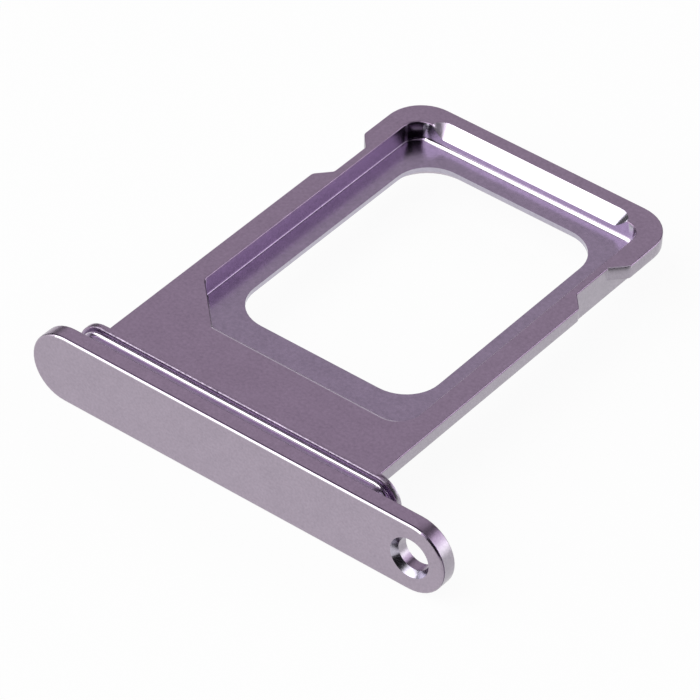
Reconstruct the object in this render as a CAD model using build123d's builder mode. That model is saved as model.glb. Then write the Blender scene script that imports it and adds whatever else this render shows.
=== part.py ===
from build123d import *
import os

# Sim card tray, machined from one piece of aluminium and anodised.
# Millimetres. +X runs along the face towards the eject hole, +Y is the way the
# tray slides into the device, +Z is up. The origin is the centre of the
# bounding box, at the level of the lower edge of the face.

# Face, the long strip with round ends that shows on the side of the device
face_length = 15.80
face_height = 2.50
face_thickness = 0.60
face_front_round = 0.09
face_rear_round = 0.05

# Eject hole, concentric with the round end of the face
hole_radius = 0.58
hole_sink_radius = 0.715
hole_sink_angle = 60

# Groove for a sealing ring, between the face and the collar
groove_width = 0.79
groove_depth = 0.25
groove_fillet = 0.12

# Collar that closes the slot in the housing
collar_overhang = 0.92
collar_height = 1.83
collar_thickness = 0.22
collar_chamfer = 0.05
collar_shift = -0.06

# Nano card and its play in the pocket
card_width = 8.80
card_length = 12.30
side_play = 0.10
end_play = 0.05

# Pocket for the card, with the cut corner that keys it
pocket_depth = 0.71
pocket_distance = 2.135
key_chamfer = 1.62
key_round = 0.25
near_radius = 0.80
far_radius = 0.60
floor_fillet = 0.14

# Ledges that carry the card round the window in the floor
near_ledge = 1.645
far_ledge = 0.805
left_ledge = 0.92
right_ledge = 0.88
window_radius = 1.30
window_under_chamfer = 0.29

# Tray round the pocket
side_wall = 0.75
tip_wall = 0.935
tray_thickness = 1.17
tray_shift = -0.97
collar_lip = 0.05
tip_radius = 1.35
top_chamfer = 0.04

# Rails along both sides, and the thicker pan between them
rail_thickness = 0.49
pan_inset = 0.47
pan_round = 0.06

# Detent notch in each rail, as deep as the rail stands out from the pan
notch_from_tip = 4.04
notch_flat = 1.64
notch_run = 0.53
notch_inner_round = 0.18
notch_outer_round = 0.25

# Ramp in the far wall of the pocket, cut by a pointed mill
ramp_angle = 45
ramp_reach = 0.406
ramp_radius = 0.55
ramp_depth = 0.48
ramp_margin = 1.15

# Sizes, levels and stations that follow from those above
collar_radius = collar_height / 2
pocket_width = card_width + 2 * side_play
pocket_length = card_length + 2 * end_play
tray_width = pocket_width + 2 * side_wall
tray_length = pocket_distance + pocket_length + tip_wall
collar_length = tray_width + 2 * collar_overhang
window_width = pocket_width - left_ledge - right_ledge
window_length = pocket_length - near_ledge - far_ledge
overall_length = face_thickness + groove_width + collar_thickness + tray_length

face_front = -overall_length / 2
groove_front = face_front + face_thickness
collar_front = groove_front + groove_width
tray_start = collar_front + collar_thickness
face_middle = face_height / 2
tray_top = face_middle + collar_radius - collar_lip
pan_bottom = tray_top - tray_thickness
pocket_floor = tray_top - pocket_depth
hair = 0.001

face_plane = Plane(origin=(0, face_front, face_middle), x_dir=(1, 0, 0), z_dir=(0, -1, 0))
collar_plane = Plane(
    origin=(tray_shift + collar_shift, groove_front, face_middle),
    x_dir=(1, 0, 0),
    z_dir=(0, -1, 0),
)
tray_plane = Plane(origin=(tray_shift, tray_start, tray_top))

with BuildPart() as sim_tray:
    # Face plate, with a cut and polished round in front and a smaller one behind
    with BuildSketch(face_plane):
        SlotOverall(face_length, face_height)
    extrude(amount=-face_thickness)
    fillet(faces().sort_by(Axis.Y)[0].edges(), face_front_round)
    fillet(faces().sort_by(Axis.Y)[-1].edges(), face_rear_round)

    # Neck at the bottom of the groove
    with BuildSketch(collar_plane):
        SlotOverall(collar_length - 2 * groove_depth, collar_height - 2 * groove_depth)
    extrude(amount=-groove_width)

    # Collar, and the fillets at both sides of the groove
    with BuildSketch(collar_plane.offset(-groove_width)):
        SlotOverall(collar_length, collar_height)
    extrude(amount=-collar_thickness)
    groove_middle = groove_front + groove_width / 2
    neck_faces = faces().filter_by_position(Axis.Y, groove_middle - hair, groove_middle + hair)
    fillet(neck_faces.edges().filter_by(Axis.Y, reverse=True), groove_fillet)
    collar_face = faces().filter_by(Plane.XZ).filter_by_position(
        Axis.Y, collar_front - hair, collar_front + hair
    )[0]
    chamfer(collar_face.outer_wire().edges(), collar_chamfer)

    # Rails: the full outline of the tray, with a notch in each side
    notch_middle = tray_length - notch_from_tip
    notch_reach = notch_flat / 2 + notch_run + hair
    waist = tray_width / 2 - pan_inset
    with BuildSketch(tray_plane):
        Rectangle(tray_width, tray_length, align=(Align.CENTER, Align.MIN))
        fillet(vertices().sort_by(Axis.Y)[-2:], tip_radius)
        for side in (-1, 1):
            with BuildLine():
                Polyline(
                    (side * tray_width / 2, notch_middle - notch_flat / 2 - notch_run),
                    (side * waist, notch_middle - notch_flat / 2),
                    (side * waist, notch_middle + notch_flat / 2),
                    (side * tray_width / 2, notch_middle + notch_flat / 2 + notch_run),
                    close=True,
                )
            make_face(mode=Mode.SUBTRACT)
        corners = vertices().filter_by_position(
            Axis.Y, notch_middle - notch_reach, notch_middle + notch_reach
        )
        fillet(corners.filter_by_position(Axis.X, -waist - hair, waist + hair), notch_inner_round)
        corners = vertices().filter_by_position(
            Axis.Y, notch_middle - notch_reach, notch_middle + notch_reach
        )
        fillet(corners.group_by(Axis.X)[0] + corners.group_by(Axis.X)[-1], notch_outer_round)
    extrude(amount=-rail_thickness)

    # Pan under the rails
    with BuildSketch(tray_plane):
        Rectangle(2 * waist, tray_length - pan_inset, align=(Align.CENTER, Align.MIN))
        fillet(vertices().sort_by(Axis.Y)[-2:], tip_radius - pan_inset)
    extrude(amount=-tray_thickness)
    pan_face = faces().filter_by(Plane.XY).filter_by_position(
        Axis.Z, pan_bottom - hair, pan_bottom + hair
    )
    pan_rim = pan_face.edges().filter_by_position(Axis.Y, tray_start + hair, -face_front)
    fillet(pan_rim, pan_round)

    # Card pocket, keyed by the cut corner at its near left
    pocket_end = pocket_distance + pocket_length
    with BuildSketch(tray_plane):
        with BuildLine():
            Polyline(
                (-pocket_width / 2, pocket_distance + key_chamfer),
                (-pocket_width / 2 + key_chamfer, pocket_distance),
                (pocket_width / 2, pocket_distance),
                (pocket_width / 2, pocket_end),
                (-pocket_width / 2, pocket_end),
                close=True,
            )
        make_face()
        fillet(vertices().group_by(Axis.Y)[-1], far_radius)
        fillet(vertices().group_by(Axis.Y)[0].sort_by(Axis.X)[-1], near_radius)
        fillet(vertices().group_by(Axis.Y)[0].sort_by(Axis.X)[0], key_round)
        fillet(vertices().group_by(Axis.X)[0].sort_by(Axis.Y)[0], key_round)
    extrude(amount=-pocket_depth, mode=Mode.SUBTRACT)
    floor_rim = edges().filter_by_position(Axis.Z, pocket_floor - hair, pocket_floor + hair)
    fillet(floor_rim, floor_fillet)

    # Broken top edge all round the tray and the pocket
    top_face = faces().filter_by(Plane.XY).filter_by_position(
        Axis.Z, tray_top - hair, tray_top + hair
    )
    top_rim = top_face.edges().filter_by_position(Axis.Y, tray_start + hair, -face_front)
    chamfer(top_rim, top_chamfer)

    # Window through the floor, eased underneath
    window_plane = Plane(
        origin=(
            tray_shift + (left_ledge - right_ledge) / 2,
            tray_start + pocket_distance + near_ledge + window_length / 2,
            pan_bottom,
        )
    )
    with BuildSketch(window_plane):
        RectangleRounded(window_width, window_length, window_radius)
    extrude(amount=tray_thickness, mode=Mode.SUBTRACT)
    under_face = faces().filter_by(Plane.XY).filter_by_position(
        Axis.Z, pan_bottom - hair, pan_bottom + hair
    )[0]
    chamfer(under_face.inner_wires().edges(), window_under_chamfer)

    # Ramp in the far wall, with a conical end at each side
    ramp_middle = tray_start + pocket_end + ramp_reach - ramp_radius
    with BuildSketch(Plane(origin=(tray_shift, ramp_middle, tray_top))):
        SlotCenterToCenter(pocket_width - 2 * ramp_margin, 2 * ramp_radius)
    extrude(amount=-ramp_depth, taper=ramp_angle, mode=Mode.SUBTRACT)

    # Eject hole, countersunk from the front
    hole_middle = face_length / 2 - face_height / 2
    with Locations(face_plane.shift_origin(face_plane.from_local_coords((hole_middle, 0, 0)))):
        CounterSinkHole(hole_radius, hole_sink_radius, face_thickness, hole_sink_angle)

sim_tray.part.label = "sim_tray"

os.makedirs("parts", exist_ok=True)
export_step(sim_tray.part, "parts/sim_tray.step")
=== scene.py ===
"""Look of a sim card tray: anodised satin metal with bright cut bevels, painted highlights and
painted shade, in a white studio.
"""

import logging
import math
from dataclasses import dataclass
from enum import Enum
from typing import Any, Dict, Optional, Tuple, Union

import bmesh
import bpy
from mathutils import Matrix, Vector


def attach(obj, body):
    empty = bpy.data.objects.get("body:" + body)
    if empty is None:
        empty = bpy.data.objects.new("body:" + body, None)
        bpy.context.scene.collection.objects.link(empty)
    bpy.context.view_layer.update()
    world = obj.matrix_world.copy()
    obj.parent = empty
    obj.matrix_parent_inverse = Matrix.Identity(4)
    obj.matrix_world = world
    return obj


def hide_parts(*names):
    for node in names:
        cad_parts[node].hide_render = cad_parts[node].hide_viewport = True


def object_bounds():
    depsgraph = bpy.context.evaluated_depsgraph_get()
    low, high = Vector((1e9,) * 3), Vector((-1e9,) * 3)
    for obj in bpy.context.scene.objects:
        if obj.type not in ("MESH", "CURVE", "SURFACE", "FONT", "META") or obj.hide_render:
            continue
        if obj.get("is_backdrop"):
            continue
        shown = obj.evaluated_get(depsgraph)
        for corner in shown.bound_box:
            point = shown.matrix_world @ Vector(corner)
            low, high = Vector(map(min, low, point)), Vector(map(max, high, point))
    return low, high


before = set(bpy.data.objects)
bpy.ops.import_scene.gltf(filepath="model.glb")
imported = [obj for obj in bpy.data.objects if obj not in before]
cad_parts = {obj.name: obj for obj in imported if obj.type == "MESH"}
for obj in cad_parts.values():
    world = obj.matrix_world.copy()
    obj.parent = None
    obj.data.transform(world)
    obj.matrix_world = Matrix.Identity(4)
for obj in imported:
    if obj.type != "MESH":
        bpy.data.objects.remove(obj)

LOG = logging.getLogger("sim_card_tray")
MM = 0.001
PER_METRE = 1000.0

# Slack round a level or a station of the tray, in millimetres.
HAIR = 0.001
MARGIN = 0.01

# How much of a facet's outward normal lies along an axis, from none at 0 to all at 1.
ASIDE = 0.05
BARELY = 0.1
TURNED = 0.2
SLIGHTLY = 0.3
MOSTLY = 0.9
LEVEL = 0.97
SQUARE = 0.98
FLAT = 0.99

# Noise runs from 0 to 1 about this value.
NOISE_MIDDLE = 0.5

# The colour sockets of a Mix node.
MIX_FACTOR, MIX_LOW, MIX_HIGH, MIX_RESULT = 0, 6, 7, 2

Triple = Tuple[float, float, float]
Colour = Tuple[float, float, float]
OpaqueColour = Tuple[float, float, float, float]
Operand = Union["Signal", float, int]
Socket = Union[str, int]


class Surface(Enum):
    """The finishes that the tray shows, and the colours painted for light and shade, in the order
    of its material slots.
    """

    SATIN = 0
    FACE = 1
    # Satin whose upright sides take a lighter, greyer colour: painted sheen.
    EDGE = 2
    MILLED = 3
    # Pale lilac: painted reflection on walls that face the camera.
    LILAC = 4
    # Bright cut: partly a real finish, partly painted highlight on fillets, the ramp and the
    # round's band.
    BRIGHT = 5
    # Light lilac on broken edges: painted highlight.
    RIM = 6
    # Near black: painted shade.
    CORNER = 7
    # Light lilac flecked with near black: painted dashed highlight.
    PAINTED_DASHED_HIGHLIGHT = 8


class Signal:
    """A shader value that takes part in Python arithmetic by adding Math nodes."""

    def __init__(self, bench: "ShaderBench", socket: bpy.types.NodeSocket) -> None:
        """Keeps the bench and the output socket that carries the value."""
        self.bench = bench
        self.socket = socket

    def _math(self, operation: str, *values: Operand) -> "Signal":
        """Adds one Math node.

        Args:
            operation: The name of the Math operation.
            values: Its inputs, from the top.

        Returns:
            The node's result.
        """
        return self.bench.node(
            "ShaderNodeMath", {"operation": operation}, dict(enumerate(values))
        )

    def __add__(self, other: Operand) -> "Signal":
        """Sum."""
        return self._math("ADD", self, other)

    def __radd__(self, other: Operand) -> "Signal":
        """Sum with a plain number on the left."""
        return self._math("ADD", other, self)

    def __sub__(self, other: Operand) -> "Signal":
        """Difference."""
        return self._math("SUBTRACT", self, other)

    def __rsub__(self, other: Operand) -> "Signal":
        """Difference from a plain number on the left."""
        return self._math("SUBTRACT", other, self)

    def __mul__(self, other: Operand) -> "Signal":
        """Product."""
        return self._math("MULTIPLY", self, other)

    def __rmul__(self, other: Operand) -> "Signal":
        """Product with a plain number on the left."""
        return self._math("MULTIPLY", other, self)

    def __abs__(self) -> "Signal":
        """The value without its sign."""
        return self._math("ABSOLUTE", self)

    def highest(self, other: Operand) -> "Signal":
        """The greater of the two."""
        return self._math("MAXIMUM", self, other)


class ShaderBench:
    """Adds nodes to one node tree."""

    def __init__(self, tree: bpy.types.NodeTree) -> None:
        """Empties the tree and keeps it."""
        self.tree = tree
        self.tree.nodes.clear()

    def _add(
        self, kind: str, settings: Dict[str, Any], inputs: Dict[Socket, Any]
    ) -> bpy.types.Node:
        """Adds a node, sets it up and wires it.

        Args:
            kind: The node's type name.
            settings: Its settings, set before its sockets.
            inputs: A value or a Signal for each socket, by name or number.

        Returns:
            The node.
        """
        made = self.tree.nodes.new(kind)
        for name, value in settings.items():
            setattr(made, name, value)
        for name, value in inputs.items():
            if isinstance(value, Signal):
                self.tree.links.new(value.socket, made.inputs[name])
            else:
                made.inputs[name].default_value = value
        return made

    def node(
        self,
        kind: str,
        settings: Optional[Dict[str, Any]] = None,
        inputs: Optional[Dict[Socket, Any]] = None,
        output: Socket = 0,
    ) -> Signal:
        """Adds a node and hands one of its outputs back.

        Args:
            kind: The node's type name.
            settings: Its settings, set before its sockets.
            inputs: A value or a Signal for each socket, by name or number.
            output: The socket to hand back, by name or number.

        Returns:
            The chosen output.
        """
        return Signal(self, self._add(kind, settings or {}, inputs or {}).outputs[output])

    def finish(self, shader: Signal, kind: str = "ShaderNodeOutputMaterial") -> None:
        """Wires the shader to the tree's output."""
        self._add(kind, {}, {"Surface": shader})

    def blend(
        self,
        factor: Operand,
        low: Union[Signal, OpaqueColour],
        high: Union[Signal, OpaqueColour],
    ) -> Signal:
        """Mixes two colours.

        Args:
            factor: How much of the second colour shows.
            low: The first colour.
            high: The second colour.

        Returns:
            The mixed colour.
        """
        return self.node(
            "ShaderNodeMix",
            {"data_type": "RGBA", "clamp_factor": True},
            {MIX_FACTOR: factor, MIX_LOW: low, MIX_HIGH: high},
            MIX_RESULT,
        )

    def place(self, scale: Triple = (PER_METRE, PER_METRE, PER_METRE)) -> Signal:
        """The point on the piece, in millimetres where the scale isn't given."""
        point = self.node("ShaderNodeTexCoord", output="Object")
        return self.node("ShaderNodeMapping", {}, {"Vector": point, "Scale": scale})

    def grain(self, place: Signal, per_mm: float, detail: float, rough: float = 0.5) -> Signal:
        """Noise from 0 to 1.

        Args:
            place: The point that is sampled.
            per_mm: How many grains there are to a millimetre.
            detail: How many finer layers are added.
            rough: How strong the finer layers are.

        Returns:
            The noise.
        """
        return self.node(
            "ShaderNodeTexNoise",
            {"noise_dimensions": "3D"},
            {"Vector": place, "Scale": per_mm, "Detail": detail, "Roughness": rough},
        )

    def bump(self, height: Signal, strength: float, depth: float) -> Signal:
        """Turns a height into a normal.

        Args:
            height: The height, from 0 to 1.
            strength: How much of it shows.
            depth: How deep a height of 1 is, in millimetres.

        Returns:
            The normal.
        """
        return self.node(
            "ShaderNodeBump",
            {},
            {"Strength": strength, "Distance": depth * MM, "Height": height},
        )


def opaque(colour: Colour) -> OpaqueColour:
    """The colour with nothing showing through."""
    return (*colour, 1.0)


def grey(level: float) -> OpaqueColour:
    """The opaque grey of a level."""
    return (level, level, level, 1.0)


def new_material(name: str) -> Tuple[bpy.types.Material, ShaderBench]:
    """Makes a material without nodes.

    Args:
        name: Its name.

    Returns:
        The material, and the bench for its nodes.
    """
    made = bpy.data.materials.new(name)
    made.use_nodes = True
    return made, ShaderBench(made.node_tree)


def put_in_scene(name: str, data: bpy.types.ID) -> bpy.types.Object:
    """Makes an object and links it to the scene.

    Args:
        name: Its name.
        data: Its mesh, lamp or camera.

    Returns:
        The object, at the origin.
    """
    made = bpy.data.objects.new(name, data)
    bpy.context.scene.collection.objects.link(made)
    return made


@dataclass(frozen=True)
class AnodisingAndPaintedLight:
    """Bead-blasted or milled aluminium, dyed and sealed, with a fine even grain.

    The bump's height is in millimetres. The colours for upright surfaces, a pale and a deep
    one, take over as the surface's rise falls through the upright range; they are a painted
    sheen on the sides. Some of the tray's finishes are painted light and shade as a whole:
    pale lilac and light lilac for reflections and highlights, near black for shade.
    """

    name: str
    pale: Colour
    deep: Colour
    roughness: float = 0.36
    roughness_swing: float = 0.10
    coat: float = 0.35
    coat_roughness: float = 0.30
    coat_ior: float = 1.55
    grain_per_mm: float = 9.0
    cloud_per_mm: float = 1.6
    flecks_per_grain: float = 2.3
    grain_contrast: float = 1.6
    cloud_contrast: float = 0.45
    fleck_share: float = 0.3
    bump_strength: float = 0.10
    bump_height: float = 0.004
    upright: Optional[Tuple[Colour, Colour]] = None
    upright_range: Tuple[float, float] = (0.55, 0.90)

    def rise(self, bench: ShaderBench) -> Signal:
        """Tells how nearly level the surface is.

        Args:
            bench: The tree that the nodes go into.

        Returns:
            0 on upright surfaces, 1 on level ones.
        """
        turned = bench.node("ShaderNodeTexCoord", output="Normal")
        upward = bench.node("ShaderNodeSeparateXYZ", {}, {0: turned}, "Z")
        steep, level = self.upright_range
        return bench.node(
            "ShaderNodeMapRange",
            {"interpolation_type": "SMOOTHSTEP"},
            {"Value": abs(upward), "From Min": steep, "From Max": level},
        )

    def material(self) -> bpy.types.Material:
        """Makes the material.

        Returns:
            The material, with its grain in millimetres on the piece.
        """
        made, bench = new_material(self.name)
        place = bench.place()
        grain = bench.grain(place, self.grain_per_mm, detail=3.0, rough=0.65)
        cloud = bench.grain(place, self.cloud_per_mm, detail=2.0)
        fleck = bench.grain(place, self.grain_per_mm * self.flecks_per_grain, detail=1.0)
        grained = (grain - NOISE_MIDDLE) * self.grain_contrast
        clouded = (cloud - NOISE_MIDDLE) * self.cloud_contrast
        tone = grained + clouded + NOISE_MIDDLE
        colour = bench.blend(tone, opaque(self.deep), opaque(self.pale))
        # Upright surfaces take a lighter, greyer colour: painted sheen from the light they catch.
        if self.upright:
            pale, deep = self.upright
            painted_sheen_walls = bench.blend(tone, opaque(deep), opaque(pale))
            colour = bench.blend(self.rise(bench), painted_sheen_walls, colour)
        height = grain * (1.0 - self.fleck_share) + fleck * self.fleck_share
        shader = bench.node(
            "ShaderNodeBsdfPrincipled",
            {},
            {
                "Base Color": colour,
                "Metallic": 1.0,
                "Roughness": self.roughness + (fleck - NOISE_MIDDLE) * self.roughness_swing,
                "Coat Weight": self.coat,
                "Coat Roughness": self.coat_roughness,
                "Coat IOR": self.coat_ior,
                "Normal": bench.bump(height, self.bump_strength, self.bump_height),
            },
        )
        bench.finish(shader)
        return made


@dataclass(frozen=True)
class BrightCutAndPaintedHighlight:
    """Metal cut bright by a pointed tool after blasting, with faint tool lines. On the tray's
    fillets, ramp and band its pale colour is also painted highlight.

    The bump's height is in millimetres. The stretch is the pattern's scale to a metre.
    """

    name: str
    pale: Colour
    deep: Colour
    roughness: float = 0.16
    roughness_swing: float = 0.06
    lines_per_mm: float = 26.0
    stretch: Triple = (60.0, PER_METRE, PER_METRE)
    bump_strength: float = 0.05
    bump_height: float = 0.001

    def material(self) -> bpy.types.Material:
        """Makes the material.

        Returns:
            The material, with fine lines along the length of the cut.
        """
        made, bench = new_material(self.name)
        lines = bench.grain(bench.place(self.stretch), self.lines_per_mm, detail=1.0)
        shader = bench.node(
            "ShaderNodeBsdfPrincipled",
            {},
            {
                "Base Color": bench.blend(lines, opaque(self.deep), opaque(self.pale)),
                "Metallic": 1.0,
                "Roughness": self.roughness + (lines - NOISE_MIDDLE) * self.roughness_swing,
                "Normal": bench.bump(lines, self.bump_strength, self.bump_height),
            },
        )
        bench.finish(shader)
        return made


@dataclass
class TrayBody:
    """The tray itself: a smoothed copy of the machined solid, dressed cut by cut.

    Sizes are in millimetres, from the tray's own levels and stations. Angles are in degrees.
    A turn is a limit on a facet's normal. On the round in front of the face, the lean is how
    far the normal points away from the front, and the rise and the along say how much of
    that is upward and towards the eject hole. The finishes are named as the members of
    Surface are.
    """

    node: str = "sim_tray"

    # Face, with its round in front and its eject hole
    front_round: float = 0.09
    # Normal limits on the round that pick its band of painted highlight, its near black lines of
    # painted shade and its darker end band of painted shade.
    highlight_rise: float = 0.45
    highlight_along: Tuple[float, float] = (-0.35, 0.3)
    highlight_lean: float = 0.86
    end_lean: float = 0.55
    side_rise: float = -0.3
    side_lean: float = 0.9
    hole_middle: Tuple[float, float] = (6.65, 1.25)
    hole_sink: float = 0.72
    hole_sink_depth: float = 0.24

    # Groove and collar
    groove_front: float = -7.94
    collar_front: float = -7.15
    collar_ease: float = 0.05
    tray_start: float = -6.93

    # Card pocket and the ramp in its far wall
    pocket_x: Tuple[float, float] = (-5.47, 3.53)
    pocket_near: float = -4.795
    pocket_far: float = 7.605
    pocket_floor: float = 1.405
    far_radius: float = 0.60
    ramp_far: float = 8.02
    # Normal limits that pick the ramp's bright cut, partly painted highlight, the far left
    # corner's painted shade and the far floor fillet's painted highlight.
    ramp_turn: float = 0.69
    corner_turn: float = 0.35
    far_fillet_turn: float = 4.0

    # Top of the tray, and its broken edge over the pocket's near wall
    tray_top: float = 2.115
    top_ease: float = 0.04
    near_reach: float = 0.6
    near_bevel: float = 0.05
    near_turn: Tuple[float, float] = (0.5, 0.707)

    # Fillet at the foot of the pocket's left wall
    left_wall_start: float = -3.08
    floor_fillet: float = 0.14
    fillet_share: float = 0.35

    # Merging and shading
    weld: float = 0.0001
    flatness: float = 0.05
    crease: float = 25.0
    eased_crease: float = 50.0

    # Finishes, and the colours painted for light and shade
    satin: AnodisingAndPaintedLight = AnodisingAndPaintedLight(
        "tray_satin", pale=(0.365, 0.262, 0.392), deep=(0.245, 0.172, 0.264)
    )
    face: AnodisingAndPaintedLight = AnodisingAndPaintedLight(
        "face_satin",
        pale=(0.435, 0.365, 0.450),
        deep=(0.315, 0.265, 0.330),
        grain_per_mm=11.0,
    )
    # Outer walls and rims: the same satin, with a lighter, greyer colour on upright parts as
    # painted sheen.
    edge: AnodisingAndPaintedLight = AnodisingAndPaintedLight(
        "edge_satin",
        pale=(0.365, 0.262, 0.392),
        deep=(0.245, 0.172, 0.264),
        roughness=0.30,
        grain_per_mm=13.0,
        upright=((0.43, 0.39, 0.45), (0.31, 0.28, 0.33)),
    )
    milled: AnodisingAndPaintedLight = AnodisingAndPaintedLight(
        "pocket_milled",
        pale=(0.340, 0.254, 0.386),
        deep=(0.228, 0.171, 0.264),
        roughness=0.24,
        roughness_swing=0.05,
        coat_roughness=0.18,
        bump_strength=0.05,
    )
    # Pale lilac on the far wall, the window walls and the countersink: painted reflection, on the
    # same metal as the pocket.
    lilac: AnodisingAndPaintedLight = AnodisingAndPaintedLight(
        "far_wall_painted_reflection",
        pale=(0.52, 0.49, 0.58),
        deep=(0.42, 0.39, 0.47),
        roughness=0.22,
        roughness_swing=0.05,
        coat_roughness=0.16,
        bump_strength=0.05,
    )
    # Pale bright cut: partly a real bright-cut finish, partly painted highlight on the groove's
    # fillet, the far floor fillet, the ramp and the round's band.
    bright: BrightCutAndPaintedHighlight = BrightCutAndPaintedHighlight(
        "bright_cut_and_painted_highlight", pale=(0.76, 0.71, 0.78), deep=(0.60, 0.55, 0.62)
    )
    # Light lilac on broken edges and the ramp's rounded ends: painted highlight.
    rim: AnodisingAndPaintedLight = AnodisingAndPaintedLight(
        "broken_edge_painted_highlight",
        pale=(0.70, 0.60, 0.75),
        deep=(0.55, 0.47, 0.59),
        roughness=0.40,
        grain_per_mm=13.0,
    )
    # Near black: painted shade in the pocket's far left corner and in the dark lines along the
    # face's round.
    corner: AnodisingAndPaintedLight = AnodisingAndPaintedLight(
        "corner_painted_shade",
        pale=(0.13, 0.09, 0.15),
        deep=(0.08, 0.055, 0.095),
        roughness=0.20,
        roughness_swing=0.05,
        coat=0.15,
        coat_roughness=0.16,
        bump_strength=0.05,
    )
    # Light lilac flecked with near black along the collar's front edge: painted dashed highlight
    # and painted shade.
    painted_dashed_highlight: AnodisingAndPaintedLight = AnodisingAndPaintedLight(
        "collar_edge_painted_highlight",
        pale=(0.62, 0.51, 0.66),
        deep=(0.035, 0.022, 0.045),
        roughness=0.36,
        grain_per_mm=7.0,
    )

    def surface_of(self, centre: Vector, normal: Vector, front: float) -> Surface:
        """Tells which finish a facet has, painted light and shade included.

        Args:
            centre: The facet's centre, in millimetres.
            normal: Its outward normal.
            front: How far forward the face lies, in millimetres.

        Returns:
            The finish.
        """
        if centre.y < self.groove_front:
            return self.surface_of_face(centre, normal, front)
        if centre.y < self.collar_front + HAIR:
            # The groove's concave fillet takes the pale bright cut: painted highlight.
            in_fillet = ASIDE < abs(normal.y) < SQUARE and abs(normal.x) < SLIGHTLY
            return Surface.BRIGHT if in_fillet else Surface.MILLED
        left, right = self.pocket_x
        over_pocket = left - MARGIN < centre.x < right + MARGIN
        in_pocket = over_pocket and self.pocket_near - MARGIN < centre.y < self.ramp_far
        ease_foot = self.tray_top - self.top_ease
        if in_pocket and self.pocket_floor - HAIR < centre.z < ease_foot:
            return self.surface_of_wall(centre, normal)
        on_ease = centre.z > ease_foot and normal.z < LEVEL
        on_collar = centre.y < self.tray_start
        # The collar's eased front edge: painted dashed highlight.
        if on_ease and on_collar:
            return Surface.PAINTED_DASHED_HIGHLIGHT
        # Broken edges over the near wall and at the outer right front: light lilac, painted
        # highlight.
        to_right_front = normal.x > TURNED and normal.y < -TURNED
        outer_and_lit = to_right_front and not in_pocket
        if on_ease and (self.lies_over_near_wall(centre, normal) or outer_and_lit):
            return Surface.RIM
        upright = abs(normal.z) < SLIGHTLY and centre.y > self.tray_start
        # Walls below the pocket floor, round the window: pale lilac, painted reflection.
        if upright and in_pocket and centre.z < self.pocket_floor:
            return Surface.LILAC
        on_collar_rim = on_collar and abs(normal.y) < ASIDE
        if on_collar_rim or (upright and not in_pocket):
            return Surface.EDGE
        return Surface.SATIN

    def lies_over_near_wall(self, centre: Vector, normal: Vector) -> bool:
        """Tells whether a facet belongs to the broken edge over the pocket's near wall.

        Args:
            centre: The facet's centre, in millimetres.
            normal: Its outward normal.

        Returns:
            True for that edge and its ends.
        """
        on_ease = centre.z > self.tray_top - self.top_ease
        return self.is_by_near_wall(centre) and normal.y > TURNED and on_ease

    def is_by_near_wall(self, place: Vector) -> bool:
        """Tells whether a place lies along the pocket's near wall, or over its rounded ends.

        Args:
            place: The place, in millimetres.

        Returns:
            True where it does.
        """
        over_pocket = self.pocket_x[0] < place.x < self.pocket_x[1]
        return over_pocket and abs(place.y - self.pocket_near) < self.near_reach

    def surface_of_wall(self, centre: Vector, normal: Vector) -> Surface:
        """Tells which finish a facet of the pocket's walls has, painted light and shade included.

        Args:
            centre: The facet's centre, in millimetres.
            normal: Its outward normal.

        Returns:
            The finish.
        """
        slanted = BARELY < normal.z < LEVEL
        past_wall = centre.y > self.pocket_far
        before_wall = centre.y < self.pocket_far
        # The ramp: pale bright cut, partly painted highlight.
        if slanted and past_wall and normal.y < -self.ramp_turn:
            return Surface.BRIGHT
        # The ramp's rounded ends: light lilac, painted highlight.
        if slanted and past_wall and normal.x > BARELY:
            return Surface.RIM
        # The far floor fillet: pale bright cut, painted highlight.
        if slanted and before_wall and normal.y < -self.far_fillet_turn * abs(normal.x):
            return Surface.BRIGHT
        # The far left corner: near black, painted shade.
        off_far_wall = normal.x > self.corner_turn * math.hypot(normal.x, normal.y)
        off_left_wall = normal.y < -self.corner_turn * normal.x
        if off_far_wall and off_left_wall and normal.z < LEVEL:
            return Surface.CORNER
        # The far wall: pale lilac, painted reflection.
        if normal.y < -MOSTLY or past_wall:
            return Surface.LILAC
        return Surface.MILLED

    def surface_of_face(self, centre: Vector, normal: Vector, front: float) -> Surface:
        """Tells which finish a facet of the face has, painted light and shade included.

        Args:
            centre: The facet's centre, in millimetres.
            normal: Its outward normal.
            front: How far forward the face lies, in millimetres.

        Returns:
            The finish.
        """
        if centre.y < front + 2.0 * HAIR and normal.y < -SQUARE:
            return Surface.FACE
        from_hole = math.hypot(centre.x - self.hole_middle[0], centre.z - self.hole_middle[1])
        in_sink = from_hole < self.hole_sink and centre.y < front + self.hole_sink_depth
        # The countersink: pale lilac, painted reflection.
        if in_sink and normal.y < -SLIGHTLY:
            return Surface.LILAC
        if centre.y < front + self.front_round and normal.y < -ASIDE:
            return self.surface_of_front_round(normal)
        return Surface.EDGE

    def surface_of_front_round(self, normal: Vector) -> Surface:
        """Tells which finish a facet of the round in front of the face has.

        Args:
            normal: Its outward normal.

        Returns:
            A band of bright cut along the top, partly real and partly painted highlight, with a
            near black line of painted shade behind it, a darker band of painted shade towards the
            hole, and plain satin below.
        """
        lean = math.hypot(normal.x, normal.z)
        rise, along = normal.z / max(lean, HAIR), normal.x / max(lean, HAIR)
        on_top = rise > self.highlight_rise
        # On top, a band of pale bright cut, partly real and partly painted highlight, with a near
        # black line behind it as painted shade.
        if on_top and self.highlight_along[0] < along < self.highlight_along[1]:
            return Surface.CORNER if lean > self.highlight_lean else Surface.BRIGHT
        # Towards the eject hole, darker milled satin further out: painted shade.
        if on_top and along > 0.0:
            return Surface.MILLED if lean > self.end_lean else Surface.FACE
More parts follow.
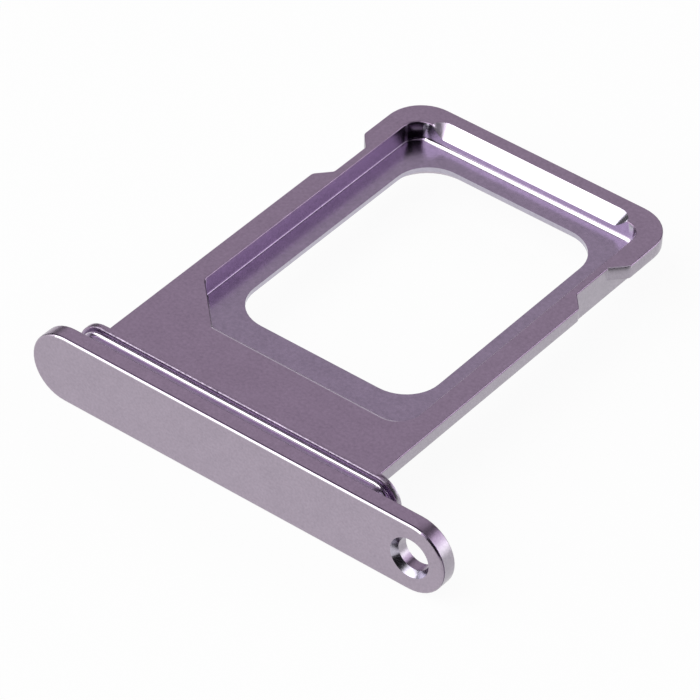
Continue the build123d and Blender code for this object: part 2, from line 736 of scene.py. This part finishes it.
        # Further round the sides, a near black line: painted shade.
        dark = rise > self.side_rise and lean > self.side_lean
        return Surface.CORNER if dark else Surface.FACE

    def is_eased(self, facet: bmesh.types.BMFace) -> bool:
        """Tells whether a facet belongs to an eased edge of the top or the collar.

        Args:
            facet: The facet.

        Returns:
            True for the narrow bevels, which are shaded as if rolled over.
        """
        if self.lies_over_near_wall(facet.calc_center_median() / MM, facet.normal):
            return False
        corners = [corner.co / MM for corner in facet.verts]
        on_top = min(corner.z for corner in corners) > self.tray_top - self.top_ease - HAIR
        nearest = min(corner.y for corner in corners)
        farthest = max(corner.y for corner in corners)
        collar_back = self.collar_front + self.collar_ease
        on_collar = nearest > self.collar_front - HAIR and farthest < collar_back + HAIR
        return (on_top and facet.normal.z < FLAT) or (on_collar and facet.normal.y > -FLAT)

    def is_smooth(self, edge: bmesh.types.BMEdge) -> bool:
        """Tells whether the surface runs on round an edge without a crease.

        Args:
            edge: The edge, with its two facets.

        Returns:
            True where it runs on.
        """
        if len(edge.link_faces) != 2:
            return False
        rolled = any(self.is_eased(facet) for facet in edge.link_faces)
        limit = self.eased_crease if rolled else self.crease
        return math.degrees(edge.calc_face_angle(0.0)) < limit

    def copy_of_solid(self) -> bmesh.types.BMesh:
        """Copies the machined solid, with its loose triangles merged into whole facets.

        Returns:
            The copy.
        """
        shape = bmesh.new()
        shape.from_mesh(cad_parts[self.node].data)
        bmesh.ops.remove_doubles(shape, verts=shape.verts, dist=self.weld * MM)
        shape.normal_update()
        bmesh.ops.dissolve_limit(
            shape,
            angle_limit=math.radians(self.flatness),
            use_dissolve_boundaries=False,
            verts=shape.verts,
            edges=shape.edges,
        )
        shape.normal_update()
        return shape

    def tighten_left_fillet(self, shape: bmesh.types.BMesh) -> None:
        """Draws the fillet at the foot of the pocket's left wall in, to a fine line.

        The far left corner lets it out again, to its full size at the far wall.

        Args:
            shape: The copy of the machined solid.
        """
        left, far, turn = self.pocket_x[0], self.pocket_far, self.far_radius
        hub = Vector((left + turn, far - turn))
        reach = self.floor_fillet + MARGIN
        for point in shape.verts:
            place = point.co / MM
            rise = place.z - self.pocket_floor
            if not -HAIR < rise < self.floor_fillet + HAIR or place.x > hub.x + HAIR:
                continue
            if self.left_wall_start < place.y <= hub.y and place.x < left + reach:
                share = self.fillet_share
                place.x = left + (place.x - left) * share
            elif place.y > hub.y:
                arm = Vector((place.x, place.y)) - hub
                if not turn - reach < arm.length < turn + MARGIN:
                    continue
                round_by = math.atan2(arm.y, -arm.x) / (math.pi / 2.0)
                share = self.fillet_share + (1.0 - self.fillet_share) * round_by
                arm = arm.normalized() * (turn - (turn - arm.length) * share)
                place.x, place.y = hub.x + arm.x, hub.y + arm.y
            else:
                continue
            place.z = self.pocket_floor + rise * share
            point.co = place * MM

    def widen_near_bevel(self, shape: bmesh.types.BMesh) -> None:
        """Lays the broken edge over the pocket's near wall back, so that it catches the light.

        Args:
            shape: The copy of the machined solid.
        """
        side, square = self.near_turn
        for point in shape.verts:
            place = point.co / MM
            if abs(place.z - self.tray_top) > HAIR or not point.link_faces:
                continue
            turned = max(facet.normal.y for facet in point.link_faces)
            if self.is_by_near_wall(place) and turned > side:
                point.co.y -= self.near_bevel * (turned - side) / (square - side) * MM

    def dress(self, shape: bmesh.types.BMesh) -> None:
        """Gives each facet its finish, painted light and shade included, and each edge its
        crease.

        Args:
            shape: The copy of the machined solid, with its small changes made.
        """
        front = min(point.co.y for point in shape.verts) / MM
        for facet in shape.faces:
            facet.smooth = True
            centre = facet.calc_center_median() / MM
            facet.material_index = self.surface_of(centre, facet.normal, front).value
        for edge in shape.edges:
            edge.smooth = self.is_smooth(edge)

    def build(self) -> bpy.types.Object:
        """Makes the dressed tray and lets it stand for the machined solid.

        Returns:
            The new object, riding on the part's one body.
        """
        shape = self.copy_of_solid()
        self.tighten_left_fillet(shape)
        self.widen_near_bevel(shape)
        shape.normal_update()
        self.dress(shape)
        mesh = bpy.data.meshes.new("tray_body")
        shape.to_mesh(mesh)
        shape.free()
        for surface in Surface:
            mesh.materials.append(getattr(self, surface.name.lower()).material())
        body = put_in_scene("tray_body", mesh)
        levelled = body.modifiers.new("flat_faces_first", "WEIGHTED_NORMAL")
        levelled.mode = "FACE_AREA"
        levelled.keep_sharp = True
        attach(body, "root")
        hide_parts(self.node)
        return body


@dataclass(frozen=True)
class Softbox:
    """A soft lamp that faces the tray from a given direction, in metres."""

    name: str
    direction: Triple
    width: float
    height: float
    radiance: float
    distance: float = 0.45
    tint: Colour = (1.0, 1.0, 1.0)

    def hang(self) -> bpy.types.Object:
        """Makes the lamp.

        Returns:
            The lamp, turned to the tray.
        """
        lamp = bpy.data.lights.new(self.name, "AREA")
        lamp.shape = "RECTANGLE"
        lamp.size, lamp.size_y = self.width, self.height
        lamp.energy = self.radiance * math.pi * self.width * self.height
        lamp.color = self.tint
        made = put_in_scene(self.name, lamp)
        towards = Vector(self.direction).normalized()
        made.location = towards * self.distance
        made.rotation_euler = towards.to_track_quat("Z", "Y").to_euler()
        return made


@dataclass
class Studio:
    """White floor, soft lamps, pale surroundings and the camera.

    The floor is in metres, the camera in millimetres and degrees. The room is the dark part
    of the surroundings: it fades out between the two angles of its reach.
    """

    floor_half: float = 1.5
    floor_gap: float = 0.00001
    floor_glow: float = 0.94
    floor_white: float = 0.86
    wall_grey: float = 0.12
    room_grey: float = 0.01
    room_direction: Triple = (0.668, -0.522, 0.53)
    room_reach: Tuple[float, float] = (42.0, 58.0)
    sensor: float = 36.0
    lens: float = 277.8155
    camera_range: Tuple[float, float] = (5.0, 10000.0)
    camera_place: Triple = (75.005, -104.586, 108.041)
    camera_turn: Triple = (49.9788, -1.7832, 37.9029)
    lamps: Tuple[Softbox, ...] = (
        Softbox("key_front_left", (-0.48, -0.61, 0.60), 0.64, 0.62, 2.4),
        Softbox("overhead", (0.10, -0.10, 0.99), 0.28, 0.28, 0.75),
        Softbox("edge_back_right", (0.754, 0.633, 0.20), 0.30, 0.16, 2.2),
        Softbox("fill_back_left", (-0.455, 0.617, 0.643), 0.42, 0.36, 0.63),
        Softbox("fill_back_right", (0.60, 0.617, 0.51), 0.25, 0.25, 1.95, tint=(0.95, 0.95, 1.0)),
    )

    def lay_floor(self) -> bpy.types.Object:
        """Lays the floor just under the tray.

        Returns:
            The floor, marked as stage.
        """
        shape = bmesh.new()
        bmesh.ops.create_grid(shape, x_segments=1, y_segments=1, size=self.floor_half)
        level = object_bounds()[0].z - self.floor_gap
        bmesh.ops.translate(shape, verts=shape.verts, vec=(0.0, 0.0, level))
        mesh = bpy.data.meshes.new("studio_floor")
        shape.to_mesh(mesh)
        shape.free()
        floor = put_in_scene("studio_floor", mesh)
        finish, bench = new_material("studio_floor")
        paint = bench.node("ShaderNodeBsdfDiffuse", {}, {"Color": grey(self.floor_white)})
        glow = bench.node("ShaderNodeEmission", {}, {"Color": grey(1.0), "Strength": 1.0})
        share = self.seen_rays(bench) * self.floor_glow
        bench.finish(bench.node("ShaderNodeMixShader", {}, {0: share, 1: paint, 2: glow}))
        mesh.materials.append(finish)
        floor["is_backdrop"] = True
        return floor

    def seen_rays(self, bench: ShaderBench) -> Signal:
        """Tells the rays that show the surroundings: to the camera, by gloss and through glass.

        Args:
            bench: The tree that the nodes go into.

        Returns:
            1 for such a ray and 0 for the rest.
        """
        camera = bench.node("ShaderNodeLightPath", output="Is Camera Ray")
        gloss = bench.node("ShaderNodeLightPath", output="Is Glossy Ray")
        through = bench.node("ShaderNodeLightPath", output="Is Transmission Ray")
        return camera.highest(gloss).highest(through)

    def paint_surroundings(self) -> None:
        """Makes the world an even grey, with a dark room behind the camera."""
        world = bpy.data.worlds.new("studio")
        bpy.context.scene.world = world
        world.use_nodes = True
        bench = ShaderBench(world.node_tree)
        point = bench.node("ShaderNodeTexCoord", output="Generated")
        towards_room = bench.node(
            "ShaderNodeVectorMath",
            {"operation": "DOT_PRODUCT"},
            {0: point, 1: Vector(self.room_direction).normalized()},
            "Value",
        )
        inner, outer = (math.cos(math.radians(turn)) for turn in self.room_reach)
        room = bench.node(
            "ShaderNodeMapRange",
            {"interpolation_type": "SMOOTHSTEP"},
            {"Value": towards_room, "From Min": outer, "From Max": inner},
        )
        shade = bench.blend(room, grey(self.wall_grey), grey(self.room_grey))
        shader = bench.node("ShaderNodeBackground", {}, {"Color": shade, "Strength": 1.0})
        bench.finish(shader, "ShaderNodeOutputWorld")

    def set_camera(self) -> bpy.types.Object:
        """Puts the camera where the photograph was taken from.

        Returns:
            The camera.
        """
        data = bpy.data.cameras.new("camera")
        data.sensor_width, data.lens = self.sensor, self.lens
        data.clip_start, data.clip_end = (reach * MM for reach in self.camera_range)
        camera = put_in_scene("camera", data)
        camera.location = Vector(self.camera_place) * MM
        camera.rotation_euler = [math.radians(turn) for turn in self.camera_turn]
        bpy.context.scene.camera = camera
        return camera

    def build(self) -> None:
        """Sets the whole studio up."""
        self.lay_floor()
        self.paint_surroundings()
        for softbox in self.lamps:
            softbox.hang()
        self.set_camera()
        bpy.context.scene.view_settings.view_transform = "Standard"


def main() -> None:
    """Builds the tray and its studio."""
    logging.basicConfig(level=logging.INFO, format="%(name)s: %(message)s")
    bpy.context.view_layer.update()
    tray = TrayBody().build()
    LOG.info("%s: %d facets", tray.name, len(tray.data.polygons))
    Studio().build()
    LOG.info("studio: floor, lamps and camera")
    bpy.context.view_layer.update()


if __name__ == "__main__":
    main()
